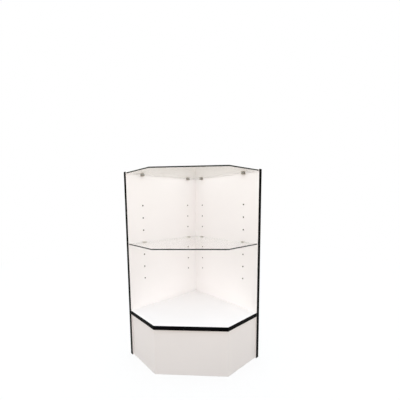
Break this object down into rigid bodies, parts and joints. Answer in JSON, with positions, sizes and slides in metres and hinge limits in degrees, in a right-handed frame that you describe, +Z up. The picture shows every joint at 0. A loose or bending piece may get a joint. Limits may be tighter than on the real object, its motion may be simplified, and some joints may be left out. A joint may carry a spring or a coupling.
{
  "type": "corner display case",
  "caption": "Open corner display case: board walls at a right angle, a black-trimmed deck on a closed kick base, and a glass shelf and glass top held in clips on the walls.",
  "frame": {"origin": "centre of the bounding box in plan, on the floor plane", "axes": "+Z up; the left wall stands along the -X side and the right wall along the +Y side, so the back corner is at -X +Y and the open front faces between +X and -Y"},
  "size_m": [0.508, 0.508, 1.016],
  "materials": {
    "white_board": "white melamine-faced board, satin",
    "white_band": "white edge band, satin",
    "black_trim": "black extruded edge moulding, semi-matt",
    "clear_glass": "clear float glass with ground edges",
    "nickel": "satin nickel plate",
    "zinc_steel": "zinc plate",
    "grey_rubber": "soft matt pad",
    "softwood": "planed, unfinished"
  },
  "bodies": {
    "carcass": {"deck_cleat_screws": "zinc_steel", "deck_edge_trim": "black_trim", "deck_panel": "white_board", "deck_screws": "zinc_steel", "front_kick_panel": "white_board", "kick_cleat_screws": "zinc_steel", "left_deck_cleat": "softwood", "left_kick_block": "softwood", "left_kick_cleat": "softwood", "left_kick_panel": "white_board", "left_wall_back_band": "white_band", "left_wall_edge_trim": "black_trim", "left_wall_panel": "white_board", "left_wall_top_band": "white_band", "right_deck_cleat": "softwood", "right_kick_block": "softwood", "right_kick_cleat": "softwood", "right_kick_panel": "white_board", "right_wall_edge_trim": "black_trim", "right_wall_panel": "white_board", "right_wall_top_band": "white_band", "shelf_clip_pads": "grey_rubber", "shelf_clip_screws": "nickel", "shelf_clips": "nickel", "top_clip_pads": "grey_rubber", "top_clip_screws": "nickel", "top_clips": "nickel", "wall_joint_screws": "zinc_steel"},
    "shelf": {"glass_shelf": "clear_glass"},
    "top": {"glass_top": "clear_glass"}
  },
  "joints": [
    {"name": "shelf_slide", "type": "slide", "parent": "carcass", "child": "shelf", "axis": [0.7071, -0.7071, 0], "range_m": [0, 0.55]},
    {"name": "top_slide", "type": "slide", "parent": "carcass", "child": "top", "axis": [0.7071, -0.7071, 0], "range_m": [0, 0.55]}
  ]
}
